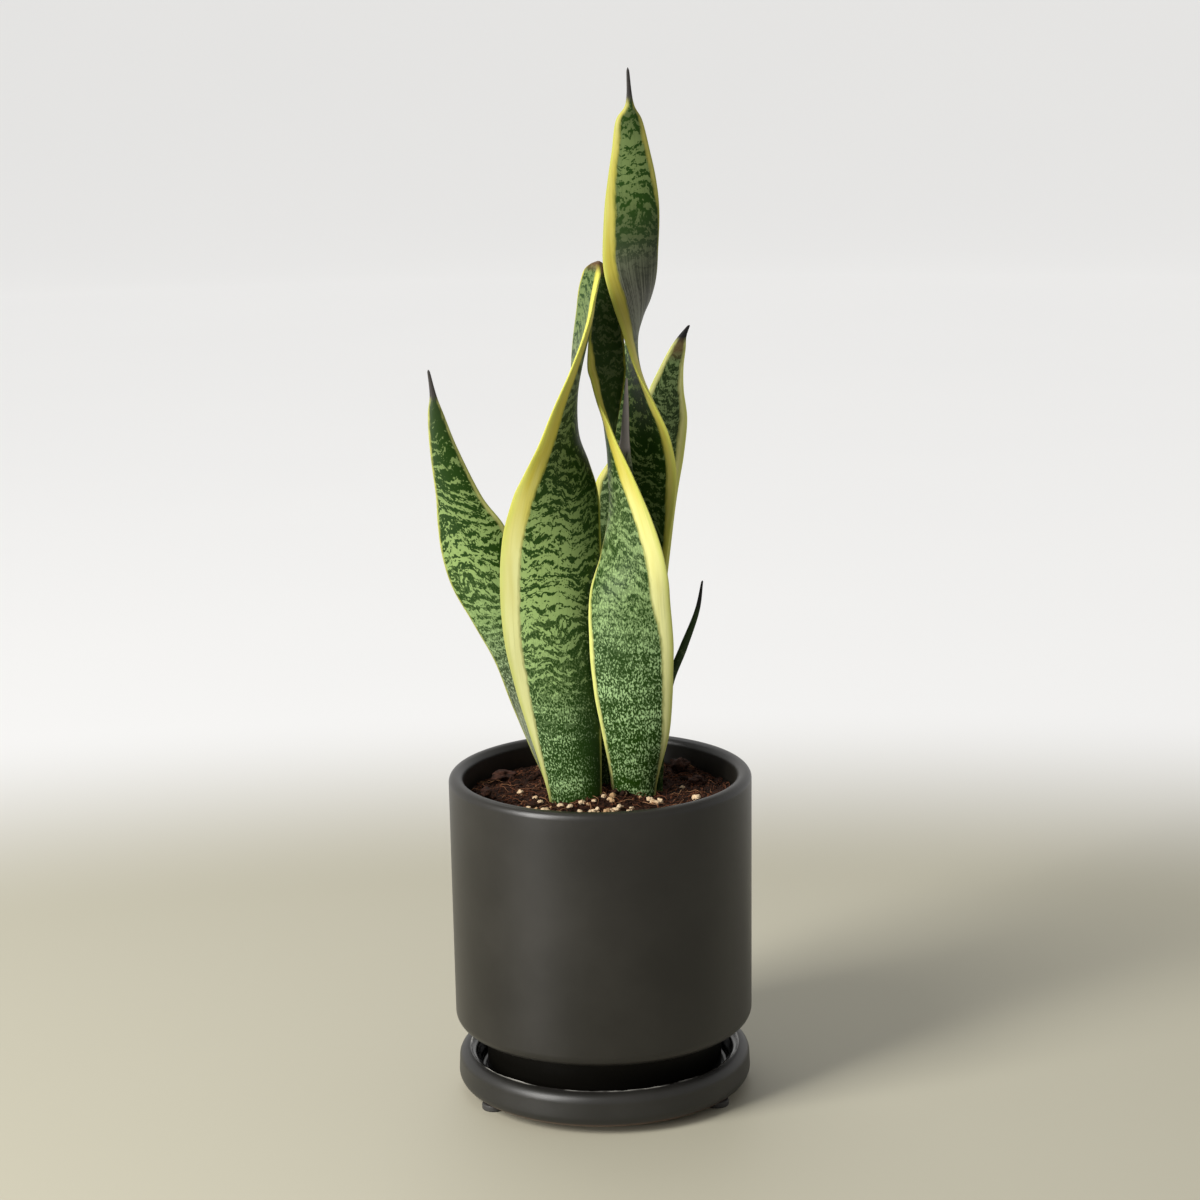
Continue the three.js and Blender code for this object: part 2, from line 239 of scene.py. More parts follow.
def makeLamps():
    target = Vector((potAxis.x, potAxis.y, 0.2))
    for lamp in lamps:
        data = bpy.data.lights.new(lamp["name"], "AREA")
        data.shape = "RECTANGLE"
        data.size, data.size_y = lamp["size"]
        data.energy = lamp["power"]
        data.color = lamp["color"]
        light = bpy.data.objects.new(lamp["name"], data)
        bpy.context.scene.collection.objects.link(light)
        side, up = math.radians(lamp["azimuth"]), math.radians(lamp["elevation"])
        towards = Vector((-math.sin(side) * math.cos(up), -math.cos(side) * math.cos(up), math.sin(up)))
        light.location = target + towards * lamp["far"]
        light.rotation_euler = towards.to_track_quat("Z", "Y").to_euler()
    world = bpy.data.worlds.new("world")
    world.use_nodes = True
    sky = world.node_tree.nodes["Background"]
    sky.inputs[0].default_value = (*studio["world"], 1)
    sky.inputs[1].default_value = studio["worldPower"]
    bpy.context.scene.world = world
    bpy.context.scene.view_settings.view_transform = "Standard"


def floorMaterial():
    s = Shader("paleFloor")
    spot = s.add("SeparateXYZ", {0: s.place()}).outputs
    aside = s.math("POWER", s.math("MULTIPLY", spot[0], studio["roundness"]), 2.0)
    far = s.math("SQRT", s.math("ADD", aside, s.math("POWER", spot[1], 2.0)))
    share = s.step(far, studio["beigeTo"], studio["whiteFrom"])
    grain = s.noise(s.place(), 3.0, 2.0)
    tint = s.mix(share, studio["floorColor"], studio["wallColor"])
    towardsBack = s.math("DIVIDE", spot[1], s.math("MAXIMUM", far, 0.1))
    front = s.span(towardsBack, -0.6, 0.6, studio["frontGlow"], 1.0)
    glow = s.math("MULTIPLY", s.math("MULTIPLY", share, front), studio["wallGlow"])
    s.link(Base_Color=s.mix(s.span(grain, 0.3, 0.7, 0.0, 0.03), tint, (0.5, 0.48, 0.42)), Roughness=0.6,
           Emission_Strength=glow)
    s.skin.inputs["Emission Color"].default_value = (1.0, 0.995, 0.985, 1)
    return s.material


def makeFloor():
    # a flat floor that sweeps up into a low wall all the way round
    rounding = studio["wallRadius"] - studio["floorRadius"]
    profile = [(0, 0), (0.4, 0), (1.2, 0), *arc(studio["floorRadius"], rounding, rounding, -90, 0, 16),
               (studio["wallRadius"], studio["wallHeight"])]
    points = []
    faces = []
    segments = 96
    for radius, height in profile:
        for i in range(segments):
            angle = 2 * math.pi * i / segments
            points.append((radius * math.cos(angle), radius * math.sin(angle), height))
    for ring in range(len(profile) - 1):
        for i in range(segments):
            j = (i + 1) % segments
            low, high = ring * segments, (ring + 1) * segments
            faces.append((low + i, low + j, high + j, high + i))
    mesh = meshFrom("floor", points, faces)
    bm = bmesh.new()
    bm.from_mesh(mesh)
    bmesh.ops.remove_doubles(bm, verts=bm.verts, dist=1e-6)
    bmesh.ops.recalc_face_normals(bm, faces=bm.faces)
    bm.to_mesh(mesh)
    bm.free()
    floor = bpy.data.objects.new("floor", mesh)
    bpy.context.scene.collection.objects.link(floor)
    mesh.materials.append(floorMaterial())


makeCamera()
makeLamps()
makeFloor()
print("camera, lamps and floor ready")


pot = {
    "wall": 6.2,
    "taper": 0.5,
    "floor": 6,
    "bottomRounding": 5.5,
    "cornerRadius": 8,
    "footRingInset": 13.5,
    "footRingWall": 5,
    "footRingDrop": 22.2,  # from the pot's underside to the foot of the ring
    "drainRadius": 6,
    "color": (0.008, 0.007, 0.005),
    "worn": (0.014, 0.0125, 0.0095),
}


def ceramicMaterial(name, color, worn, roughness, glossy):
    # matte black glaze; the attribute "gloss" turns it into a wet-looking one, "deep" paints shade
    # on the foot ring (near-black colour, less shine), and "edge" paints a broken highlight line
    s = Shader(name)
    spot = s.place()
    cloud = s.noise(spot, 22.0, 4.0, 0.6)
    speck = s.noise(spot, 900.0, 2.0, 0.6)
    gloss = s.attr("gloss")
    bare = s.attr("bare")
    base = s.mix(s.step(cloud, 0.35, 0.75), color, worn)
    base = s.mix(s.math("MULTIPLY", s.step(speck, 0.62, 0.75), 0.35), base, worn)
    base = s.mix(gloss, base, (0.012, 0.011, 0.010))
    base = s.mix(bare, base, (0.13, 0.065, 0.035))
    deep = s.attr("deep")
    # painted shade: where "deep" is set, the foot ring turns near black
    base = s.mix(deep, base, (0.003, 0.0027, 0.002))
    brokenHighlight = s.step(s.noise(spot, 70.0, 3.0), 0.4, 0.62)
    # painted highlight: a broken light line wherever "edge" is set (the saucer's glaze bead)
    base = s.mix(s.math("MULTIPLY", s.attr("edge"), brokenHighlight), base, (0.34, 0.33, 0.30))
    matte = s.span(cloud, 0.3, 0.7, roughness - 0.03, roughness + 0.04)
    rough = s.add("Mix", {0: gloss, 2: matte, 3: glossy}, data_type="FLOAT").outputs[0]
    fine = s.bump(speck, 0.12, 0.00015)
    wavy = s.add("Bump", {"Height": s.noise(spot, 60.0, 2.0), "Strength": 0.05,
                          "Distance": 0.0006, "Normal": fine})
    s.link(Base_Color=base, Roughness=rough, Normal=wavy.outputs[0])
    # painted shade also lowers the shine of the foot ring
    s.link(Specular_IOR_Level=s.span(deep, 0.0, 1.0, 0.45, 0.08))
    return s.material


def makePot():
    outer = potRadius / mm
    top = rimTop / mm
    inner = outer - pot["taper"] - pot["wall"]
    ringOuter = outer - pot["footRingInset"]
    ringInner = ringOuter - pot["footRingWall"]
    ringFoot = potLow.z / mm
    bottom = ringFoot + pot["footRingDrop"]
    lip = pot["wall"] / 2
    side = outer - pot["taper"] - pot["bottomRounding"]
    corner = inner - pot["cornerRadius"]
    floorTop = bottom + pot["floor"]
    drain = pot["drainRadius"]
    lowerSide = arc(side, bottom + pot["bottomRounding"], pot["bottomRounding"], -90, 0, 14)
    rim = arc(outer - lip, top - lip, lip, 0, 180, 24)
    innerCorner = arc(corner, floorTop + pot["cornerRadius"], pot["cornerRadius"], 0, -90, 10)
    ringSoft = 1.2
    profile = [
        *arc(drain + 1, bottom + 1, 1, 180, 270, 4),
        *line((drain + 1, bottom), (ringInner, bottom), 6),
        *arc(ringInner - 1, bottom - 1, 1, 90, 0, 4),
        *arc(ringInner + ringSoft, ringFoot + ringSoft, ringSoft, 180, 270, 5),
        *arc(ringOuter - ringSoft, ringFoot + ringSoft, ringSoft, 270, 360, 5),
        *arc(ringOuter + 1, bottom - 1, 1, 180, 90, 4),
        *line((ringOuter + 1, bottom), lowerSide[0], 3),
        *lowerSide,
        *line(lowerSide[-1], rim[0], 14),
        *rim,
        *line(rim[-1], innerCorner[0], 12),
        *innerCorner,
        *line(innerCorner[-1], (drain + 1, floorTop), 8),
        *arc(drain + 1, floorTop - 1, 1, 90, 180, 4),
    ]
    profile = [(r * mm, h * mm) for r, h in profile]
    mesh = lathe("pot_body", profile, 256)
    heights = np.array([v.co.z for v in mesh.vertices])
    paint(mesh, "gloss", np.zeros(len(heights)))
    paint(mesh, "bare", np.where(heights < (ringFoot + 1) * mm, 0.9, 0.0))
    # painted shade on the foot ring and the lowest millimetre of the pot above it
    paint(mesh, "deep", np.clip(bottom + 1 - heights / mm, 0.0, 1.0))
    material = ceramicMaterial("potGlaze", pot["color"], pot["worn"], 0.38, 0.1)
    return newPiece("pot_body", mesh, "pot_ceramic", material, "pot")


saucer = {
    "floor": 4,
    "lipRadius": 4,
    "bulge": 0.3,
    "draft": 0.4,
    "bottomRounding": 5,
    "cornerRadius": 2.5,
    "inset": 1.3,
    "recess": 47,  # shallow hollow underneath, inside the unglazed ring
    "recessDepth": 0.8,
    "glazeEdge": 97,  # where the trough's wet glaze ends on the lip, degrees round from outside
    "glazeBead": 0.45,
    "color": (0.010, 0.0095, 0.008),
    "worn": (0.017, 0.016, 0.014),
}


def makeSaucer():
    low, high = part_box("saucer")
    wide = potRadius / mm - saucer["inset"]
    bottom, top = low.z / mm, high.z / mm
    lip = wide - saucer["lipRadius"] - saucer["bulge"]
    trough = lip - saucer["lipRadius"] - saucer["draft"]
    floorTop = bottom + saucer["floor"]
    side = wide - saucer["bottomRounding"]
    under = arc(side, bottom + saucer["bottomRounding"], saucer["bottomRounding"], -90, 0, 14)
    rim = arc(lip, top - saucer["lipRadius"], saucer["lipRadius"], 0, 180, 120)
    rounding = saucer["cornerRadius"]
    corner = arc(trough - rounding, floorTop + rounding, rounding, 0, -90, 8)
    recess = saucer["recess"]
    roof = bottom + saucer["recessDepth"]
    profile = [
        (0, roof), *line((0, roof), (recess, roof), 6), (recess, roof),
        (recess + 0.8, bottom + 0.2), (recess + 1.6, bottom),
        *under, *line(under[-1], rim[0], 4), *rim, *line(rim[-1], corner[0], 3), *corner,
        *line(corner[-1], (0, floorTop), 10), (0, floorTop),
    ]
    profile = [(r * mm, h * mm) for r, h in profile]
    mesh = lathe("saucer_dish", profile, 256)
    gloss = []
    bare = []
    edge = []
    for v in mesh.vertices:
        away = Vector((v.co.x - potAxis.x, v.co.y - potAxis.y, 0))
        radius = away.length / mm
        height = v.co.z / mm
        lipTurn = math.degrees(math.atan2(height - top + saucer["lipRadius"], radius - lip))
        inside = radius < lip and height > bottom + 1.5 and (lipTurn > saucer["glazeEdge"] or lipTurn < 0)
        gloss.append(1.0 if inside else 0.0)
        # the glaze bead is raised, and its weight also goes into "edge", which paints a highlight line on it
        bead = math.exp(-((lipTurn - saucer["glazeEdge"] - 6) / 4.5) ** 2) if height > top - 4 else 0
        edge.append(bead)
        if bead > 0.01:
            flow = 0.75 + 0.6 * noise.noise(v.co * 90) + 0.5 * noise.noise(v.co * 320)
            slope = math.radians(lipTurn)
            outward = away.normalized() * math.cos(slope) + Vector((0, 0, math.sin(slope)))
            v.co += outward * bead * flow * saucer["glazeBead"] * mm
        bare.append(max(0.0, min(1.0, (bottom + 2.0 - height) / 1.2)) * 0.85 if not inside else 0.0)
    paint(mesh, "gloss", gloss)
    paint(mesh, "bare", bare)
    paint(mesh, "edge", edge)
    material = ceramicMaterial("saucerGlaze", saucer["color"], saucer["worn"], 0.42, 0.16)
    return newPiece("saucer_dish", mesh, "saucer_ceramic", material, "saucer")


pad = {"soft": 0.7, "color": (0.016, 0.015, 0.014)}


def padMaterial():
    s = Shader("padRubber")
    grain = s.noise(s.place(), 700.0, 3.0, 0.6)
    s.link(Base_Color=s.mix(grain, pad["color"], (0.035, 0.033, 0.03)),
           Roughness=s.span(grain, 0.3, 0.7, 0.6, 0.8), Normal=s.bump(grain, 0.3, 0.0002))
    return s.material


def makePads():
    material = padMaterial()
    for number in (1, 2, 3):
        node = f"foot_pad_{number}"
        low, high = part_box(node)
        middle = (low + high) / 2
        radius = (high.x - low.x) / 2
        soft = pad["soft"] * mm
        profile = [(0, 0), (radius * 0.6, 0), *arc(radius - soft, soft, soft, -90, 0, 6),
                   *arc(radius - soft, high.z - soft, soft, 0, 90, 6), (radius * 0.6, high.z), (0, high.z)]
        mesh = lathe(f"pad_{number}", profile, 64)
        mesh.transform(Matrix.Translation((middle.x - potAxis.x, middle.y - potAxis.y, 0)))
        newPiece(f"pad_{number}", mesh, "foot_pad", material, node)


makePot()
makeSaucer()
makePads()
print("pot, saucer and pads ready")


leafForm = {
    "thickness": 3.0,
    "around": 56,
    "along": 300,
    "bladeShare": 0.975,  # of the length, before the closer rings of the point
    "pointShare": 0.0245,
    "pointRings": 24,
    "foot": -19.7,  # where each leaf stands on the creeping stem, mm above the soil
    "fullness": 0.85,  # below 1 makes the section blunter near its edges
    "wave": 0.45,  # how far the edges wander, mm
    "waveLength": 19,
    "swell": 0.012,  # how far the width wanders, as a share of it
    "swellLength": 14,
    "dimCover": 0.28,  # more dark marks, painted shade, where the plus side is in its own shade
}

# stations: up from the soil, x, y, half width, direction of the width, curl of each half
# edges: up, yellow margin on the minus side, on the plus side
# skin: up, lightness of the light marks (partly the leaf's own colour, partly painted shade where a face is
# in its own shadow), fine speckle against cross bands, greyness, share of dark
# dim: painted shade on the plus side where it turns from the light, from and to as shares of the half width,
# then rows of up and how much
# gold: up, how golden and how bright the margin is
# tip: where the tip's own colour starts, and that colour; brown: where the browning starts
leaves = {
    "leaf_front_left": {
        "seed": 3,
        "stations": [
            (2, -10.4, -10, 11.8, 2, 36), (44, -15.8, -9, 18.2, 4, 34),
            (65, -17.8, -8.5, 21, 6, 34), (86, -18.2, -8, 22.3, 8, 34),
            (108, -17.2, -9, 22, 12, 32), (128, -14.2, -11, 20.6, 26, 31),
            (141, -12.3, -12, 18.6, 43, 30), (153, -10.9, -13, 17.4, 62, 29),
            (170, -8.6, -14, 15.2, 77, 28), (184, -5.8, -14, 13.4, 90, 26),
            (202, -2, -14, 11.2, 103, 24), (212, -0.9, -14, 9.2, 110, 20),
            (219, 0.2, -13.5, 6.8, 119, 16), (223, 0.9, -13.5, 4, 135, 10),
            (226, 3.2, -13, 0.7, 140, 5),
        ],
        "edges": [
            (0, 1.5, 1), (20, 3.2, 1.2), (37, 5.5, 1.4), (54, 7.5, 1.5), (88, 9.2, 1.5),
            (121, 8.8, 1.7), (150, 7.0, 1.5), (180, 5, 1.0), (205, 3.6, 0.9), (219, 2.4, 1.4),
            (226, 1, 1),
        ],
        "skin": [
            (0, 1.25, 1, 0, 0.59), (24, 1.35, 1, 0, 0.62), (38, 1.25, 0.8, 0, 0.58),
            (52, 1.15, 0.35, 0, 0.56), (90, 0.95, 0, 0, 0.46), (120, 0.85, 0, 0, 0.48),
            (140, 0.7, 0, 0, 0.58), (165, 0.7, 0, 0.1, 0.55), (185, 0.6, 0, 0.4, 0.5),
            (200, 0.5, 0, 0.05, 0.42), (226, 0.45, 0, 0, 0.5),
        ],
        "dim": (0.2, 0.9, [(0, 0.75), (45, 0.62), (80, 0.45), (130, 0.25), (160, 0)]),
        "gold": [(0, 0, 0.75), (60, 0, 0.62), (100, 0.2, 0.7), (125, 0.7, 0.95), (150, 0.95, 1.15)],
        "tip": (223.5, (0.09, 0.05, 0.02)),
    },
    "leaf_front_right": {
        "seed": 11,
        "stations": [
            (2, 14, -3, 9.8, -3, 34), (26, 14.9, -9.5, 14.3, -4, 30),
            (45, 14.1, -12.5, 16.8, -5, 27), (67, 13.3, -14.5, 18, -8, 24),
            (88, 12.4, -15, 17.6, -16, 24), (104, 12.7, -13.5, 17, -37, 26),
            (121, 11.4, -11, 16, -56, 27), (137, 8.3, -8, 14.2, -69, 28),
            (152, 6, -5, 12.7, -88, 28), (160, 5.3, -3, 11.8, -100, 28),
            (168, 4.6, -1, 11, -117, 27), (176, 4.7, 1, 10.3, -134, 26),
            (184, 4.4, 2.5, 9.6, -146, 25), (208, 4.9, 5, 6.4, -148, 18),
            (223.5, 4, 6, 0.7, -150, 5),
        ],
        "edges": [
            (0, 1.6, 1), (10, 1.8, 1.6), (20, 2, 3), (37, 2.3, 4.6), (71, 2.3, 5.8), (88, 1.6, 8),
            (121, 1.4, 8), (137, 1.3, 7.6), (160, 1.2, 5), (176, 1, 4.6), (186, 1, 3.0),
            (193, 1, 0.6), (220, 0.6, 0.4),
        ],
        # the low lightness of the upper, twisted part is partly painted shade for its own shadow
        "skin": [
            (0, 1.3, 1, 0, 0.63), (20, 1.4, 1, 0, 0.61), (40, 1.35, 1, 0, 0.59),
            (65, 1.1, 0.95, 0, 0.57), (85, 1.0, 0.55, 0, 0.54), (125, 0.92, 0.35, 0.1, 0.53),
            (150, 0.5, 0.1, 0.1, 0.6), (165, 0.3, 0, 0.1, 0.58), (223, 0.3, 0, 0.1, 0.58),
        ],
        "gold": [(0, 0, 1.05), (90, 0, 1.05), (140, 0.8, 1), (160, 1, 1)],
        "tip": (219, (0.06, 0.035, 0.015)),
    },
    "leaf_left": {
        "seed": 23,
        "stations": [
            (2, -14, 1, 8.5, 8, 36), (20, -19.5, 1, 9.6, 8, 36), (40, -25, 1, 12, 6, 34),
            (58, -30, 1.5, 13.5, 4, 30), (74, -36.5, 2, 15.5, 2, 26), (90, -44, 2.5, 16.8, 0, 24),
            (104, -48.5, 3, 16, 0, 22), (116, -51.8, 3.5, 13.8, 0, 20), (128, -56.3, 4, 9.6, 0, 18),
            (148, -62, 5, 5.8, 0, 14), (162, -64.83, 6, 3.3, 0, 10), (170, -65.8, 6.5, 1.4, 0, 5),
            (180.5, -67.5, 7, 0.5, 0, 0),
        ],
        "edges": [
            (0, 0.6, 1), (60, 0.8, 1.6), (90, 1, 2), (121, 1, 2.6), (138, 0.9, 1.6),
            (160, 0.9, 1.1), (170, 0.5, 0.6), (180, 0, 0),
        ],
        "skin": [
            (0, 0.6, 1, 0.75, 0.7), (35, 0.9, 1, 0.65, 0.64), (55, 1.0, 0.8, 0.25, 0.57),
            (75, 1.02, 0.35, 0, 0.54), (100, 0.98, 0, 0, 0.51), (120, 0.85, 0, 0, 0.54),
            (135, 0.75, 0, 0, 0.58), (150, 0.6, 0, 0, 0.64), (180, 0.4, 0, 0.4, 0.85),
        ],
        "gold": [(0, 0.3, 0.8), (100, 0.2, 0.9)],
        "tip": (169, (0.036, 0.033, 0.03)),
    },
    "leaf_tall": {
        "seed": 31,
        "stations": [
            (2, 12.5, 18, 10, -10, -36), (50, 14, 18, 13, -8, -34), (98, 16.5, 17, 14.3, -8, -32),
            (131, 20.6, 15, 15, -14, -30), (150, 20.3, 13, 15, -28, -28),
            (166, 18.3, 11, 14.5, -50, -26), (180, 17, 9, 14.3, -74, -25),
            (192, 17.1, 8, 14, -94, -24), (200, 17.9, 7.5, 13.6, -110.5, -23),
            (208, 17.9, 7.5, 13.2, -129, -20), (224, 16.5, 7.5, 12.3, -158, -17),
            (244, 16.9, 8, 11.4, -172, -14), (256, 17, 8, 10, -174, -13),
            (268, 16.7, 8, 7.8, -172, -10), (280, 16.1, 8, 5.4, -170, -8),
            (287, 16.4, 8, 1.6, -170, -4), (301, 15.8, 8, 0.5, -170, 0),
        ],
        "edges": [
            (0, 1, 1.2), (90, 1, 1.6), (110, 1, 2.6), (128, 1, 4.6), (155, 1, 4.8), (185, 1, 6),
            (208, 0.8, 6.3), (224, 0.8, 5.2), (240, 1, 4.9), (250, 1.8, 4.1), (258, 2.5, 3.3),
            (273, 2.5, 2.8), (281, 1.5, 2), (288, 0.6, 1), (294, 0, 0),
        ],
        "skin": [
            (0, 0.6, 0.6, 0, 0.6), (90, 0.5, 0.3, 0, 0.6), (140, 0.65, 0, 0, 0.58),
            (186, 0.65, 0, 0, 0.58), (194, 0.6, 0, 0.7, 0.45), (210, 0.62, 0, 0.9, 0.4),
            (224, 0.4, 0, 0.6, 0.5), (234, 0.28, 0, 0.15, 0.55), (246, 0.36, 0, 0, 0.55),
            (258, 0.5, 0, 0, 0.42), (272, 0.5, 0, 0, 0.42), (282, 0.3, 0, 0, 0.6),
            (290, 0.4, 0, 0.2, 0.6),
        ],
        "dim": (0.45, 0.9, [(230, 0), (245, 0.5), (285, 0.5)]),
        "gold": [(0, 0.8, 1.2), (185, 0.85, 1.2), (200, 1, 0.78), (285, 0.8, 0.8)],
        "tip": (288.5, (0.03, 0.028, 0.026)),
    },
    "leaf_right_back": {
        "seed": 47,
        "stations": [
            (2, 14, 27, 8, 10, -36), (60, 17, 29, 10, 10, -30), (100, 20.6, 31, 11, 8, -24),
            (124, 23.7, 32.5, 11.2, 6, -20), (139, 26.2, 33, 11.4, 6, -18),
            (154, 28.3, 34, 10.8, 4, -16), (166.5, 30.4, 34.5, 7.4, 2, -12),
            (175.5, 32.7, 35, 5.1, 0, -10), (183.5, 35.4, 35.5, 3.4, 0, -8),
            (188.5, 37.4, 36, 1.8, 0, -4), (193.3, 40.3, 36, 0.5, 0, 0),
        ],
        "edges": [
            (0, 1, 1), (120, 2, 3), (146, 2.4, 3.7), (154, 2.4, 3.2), (163, 2.4, 2.5),
            (173, 2.2, 2), (182, 1.6, 1), (190, 0.8, 0.6), (193, 0, 0),
        ],
        "skin": [
            (0, 0.6, 1, 0, 0.6), (120, 0.8, 0.5, 0, 0.6), (150, 0.9, 0.2, 0.15, 0.55),
            (172, 1.0, 0.2, 0.1, 0.5), (193, 0.7, 0.5, 0, 0.5),
        ],
        "gold": [(0, 0.7, 1.2), (140, 0.3, 1.3), (180, 0.1, 1.3)],
        "tip": (187.5, (0.012, 0.011, 0.012)),
        "brown": 178,
    },
    "leaf_inner": {
        "seed": 59,
        "stations": [
            (2, 6, 8, 7.5, -10, -34), (60, 7, 10, 9.5, -12, -30), (105, 8.5, 11, 9.5, -16, -24),
            (118, 8, 11, 9.4, -20, -20), (131, 8.5, 11, 8.6, -22, -16),
            (140, 10.5, 10, 5.4, -22, -12), (149, 12.4, 8, 2.2, -22, -4), (162, 13, 4, 1.4, -22, 0),
            (177, 13.6, 0, 0.4, -22, 0),
        ],
        "edges": [
            (0, 1, 1), (110, 2.2, 0.6), (122, 3.2, 0), (140, 3, 0), (149, 0.6, 0), (155, 0, 0),
        ],
        "skin": [
            (0, 0.6, 0.8, 0, 0.6), (100, 1.0, 0.5, 0.05, 0.6), (134, 1.0, 0.4, 0.2, 0.6),
            (150, 0.8, 0, 1, 0.4), (177, 0.8, 0, 1, 0.4),
        ],
        "gold": [(0, 0.8, 1), (140, 0.6, 1)],
        "tip": (146, (0.36, 0.325, 0.32)),
    },
    "leaf_shoot": {
        "seed": 71,
        "stations": [
            (2, 23, 5, 3.4, -10, 0), (24, 25, 4.5, 3, -10, 0), (46, 29.2, 4, 2, -10, 0),
            (62, 35.4, 4, 1.8, -10, 0), (78, 41.4, 4, 1.1, -10, 0), (91, 43.8, 4, 0.4, -10, 0),
        ],
        "edges": [(0, 0, 0), (90, 0, 0)],
        "skin": [
            (0, 0.4, 0.3, 0, 0.6), (40, 0.35, 0.2, 0.2, 0.6), (60, 0.3, 0.1, 0.2, 0.7),
            (91, 0.2, 0, 0.2, 0.8),
        ],
        "gold": [(0, 1, 1), (90, 1, 1)],
        "tip": (80, (0.012, 0.012, 0.011)),
    },
}


def splineRows(rows, shares):
    # smooth curve through the rows, the same as the leaves' own centre lines
    count = len(rows)
    ends = [2 * rows[0] - rows[1], *rows, 2 * rows[-1] - rows[-2]]
    ends = np.array(ends)
    spots = np.asarray(shares) * (count - 1)
    first = np.clip(spots.astype(int), 0, count - 2)
    w = (spots - first)[:, None]
    a, b, c, d = (ends[first + i] for i in range(4))
    slopeB, slopeC = (c - a) / 2, (d - b) / 2
    return (b + slopeB * w + (3 * (c - b) - 2 * slopeB - slopeC) * w**2
            + (2 * (b - c) + slopeB + slopeC) * w**3)


def leafMesh(name, leaf):
    first = leaf["stations"][0]
    rows = np.array([(leafForm["foot"], *first[1:]), *leaf["stations"]], float)
    blade = np.linspace(0, leafForm["bladeShare"], leafForm["along"])
    point = 1 - leafForm["pointShare"] * np.linspace(1, 0, leafForm["pointRings"]) ** 1.6
    shares = np.concatenate([blade, point])
    shares[-1] = 0.9998
    values = splineRows(rows, shares)
    up, x, y, half, turn, curl = values.T
    centre = np.stack([x * mm + potAxis.x, y * mm + potAxis.y, up * mm + soilTop], 1)
    tangent = np.gradient(centre, shares, axis=0)
    tangent /= np.linalg.norm(tangent, axis=1)[:, None]
    steps = np.linalg.norm(np.diff(centre, axis=0), axis=1) / mm
    along = np.concatenate([[0], np.cumsum(steps)])
    angle = np.radians(turn)
    across = np.stack([np.cos(angle), np.sin(angle), 0 * angle], 1)
    back = np.cross(tangent, across)
    back /= np.linalg.norm(back, axis=1)[:, None]
    half = np.maximum(half, 0.2) * np.clip((1 - shares) / 0.006, 0.02, 1) ** 0.5
    curl = np.where(np.abs(curl) < 1, 1, curl)
    curve = np.radians(curl) / half
    thick = np.minimum(leafForm["thickness"], half * 1.2) / 2
    seed = leaf["seed"]

    around = leafForm["around"]
    turns = np.arange(around) * 2 * np.pi / around
    cosine, sine = np.cos(turns), np.sin(turns)
    points = []
    names = ("across", "along", "rim", "edge", "face", "tone", "mottle", "grey", "cover", "gold",
             "bright", "tip", "brown")
    paints = {key: [] for key in names}
    edges = np.array(leaf["edges"], float)
    skin = np.array(leaf["skin"], float)
    gold = np.array(leaf["gold"], float)
    dimFrom, dimTo, dimRows = leaf.get("dim", (0, 1, [(0, 0)]))
    dimRows = np.array(dimRows, float)
    sideways = np.clip((cosine - dimFrom) / (dimTo - dimFrom), 0, 1)
    tipFrom = leaf["tip"][0]
    brownFrom = leaf.get("brown", 999)
    for i in range(len(shares)):
        sway = min(1.0, half[i] / 8)
        swellAt = along[i] / leafForm["swellLength"]
        waveAt = along[i] / leafForm["waveLength"]
        wide = [1 + leafForm["swell"] * sway * noise.noise((swellAt, seed, side * 9.0)) for side in (0, 1)]
        lift = [leafForm["wave"] * sway * noise.noise((waveAt, seed + 40, side * 9.0)) for side in (0, 1)]
        scale = np.where(cosine < 0, wide[0], wide[1])
        bend = curve[i] * half[i] * cosine * scale
        off = thick[i] * np.sign(sine) * np.abs(sine) ** leafForm["fullness"]
        reach = np.sin(bend) / curve[i] - off * np.sin(bend)
        depth = (1 - np.cos(bend)) / curve[i] + off * np.cos(bend)
        depth += np.where(cosine < 0, lift[0], lift[1]) * cosine**4
        ring = centre[i] + across[i] * reach[:, None] * mm + back[i] * depth[:, None] * mm
        points.extend(ring)
        minus = np.interp(up[i], edges[:, 0], edges[:, 1])
        plus = np.interp(up[i], edges[:, 0], edges[:, 2])
        width = np.where(cosine < 0, minus, plus)
        paints["across"].extend(half[i] * cosine)
        paints["along"].extend([along[i]] * around)
        paints["rim"].extend(width - half[i] * (1 - np.abs(cosine)) - (width <= 0) * 5)
        paints["edge"].extend(np.abs(cosine))
        paints["face"].extend(np.where(sine > 0, 1.0, -1.0))
        # painted shade: the plus side is darker, and gets more dark marks, where it turns from the light
        dim = sideways * np.interp(up[i], dimRows[:, 0], dimRows[:, 1])
        paints["tone"].extend(np.interp(up[i], skin[:, 0], skin[:, 1]) * (1 - dim))
        paints["mottle"].extend([np.interp(up[i], skin[:, 0], skin[:, 2])] * around)
        paints["grey"].extend([np.interp(up[i], skin[:, 0], skin[:, 3])] * around)
        paints["cover"].extend(np.interp(up[i], skin[:, 0], skin[:, 4]) + leafForm["dimCover"] * dim)
        paints["gold"].extend([np.interp(up[i], gold[:, 0], gold[:, 1])] * around)
        paints["bright"].extend([np.interp(up[i], gold[:, 0], gold[:, 2])] * around)
        paints["tip"].extend([np.clip((up[i] - tipFrom + 2) / 3, 0, 1)] * around)
        paints["brown"].extend([np.clip((up[i] - brownFrom) / 5, 0, 1)] * around)
    rings = len(shares)
    faces = []
    for i in range(rings - 1):
        for j in range(around):
            a, b = i * around + j, i * around + (j + 1) % around
            faces.append((a, b, b + around, a + around))
    faces.append(list(range(around))[::-1])
    faces.append(list(range((rings - 1) * around, rings * around)))
    mesh = meshFrom(name, points, faces)
    for key, value in paints.items():
        paint(mesh, key, value)
    paint(mesh, "seed", np.full(len(points), float(seed)))
    return mesh


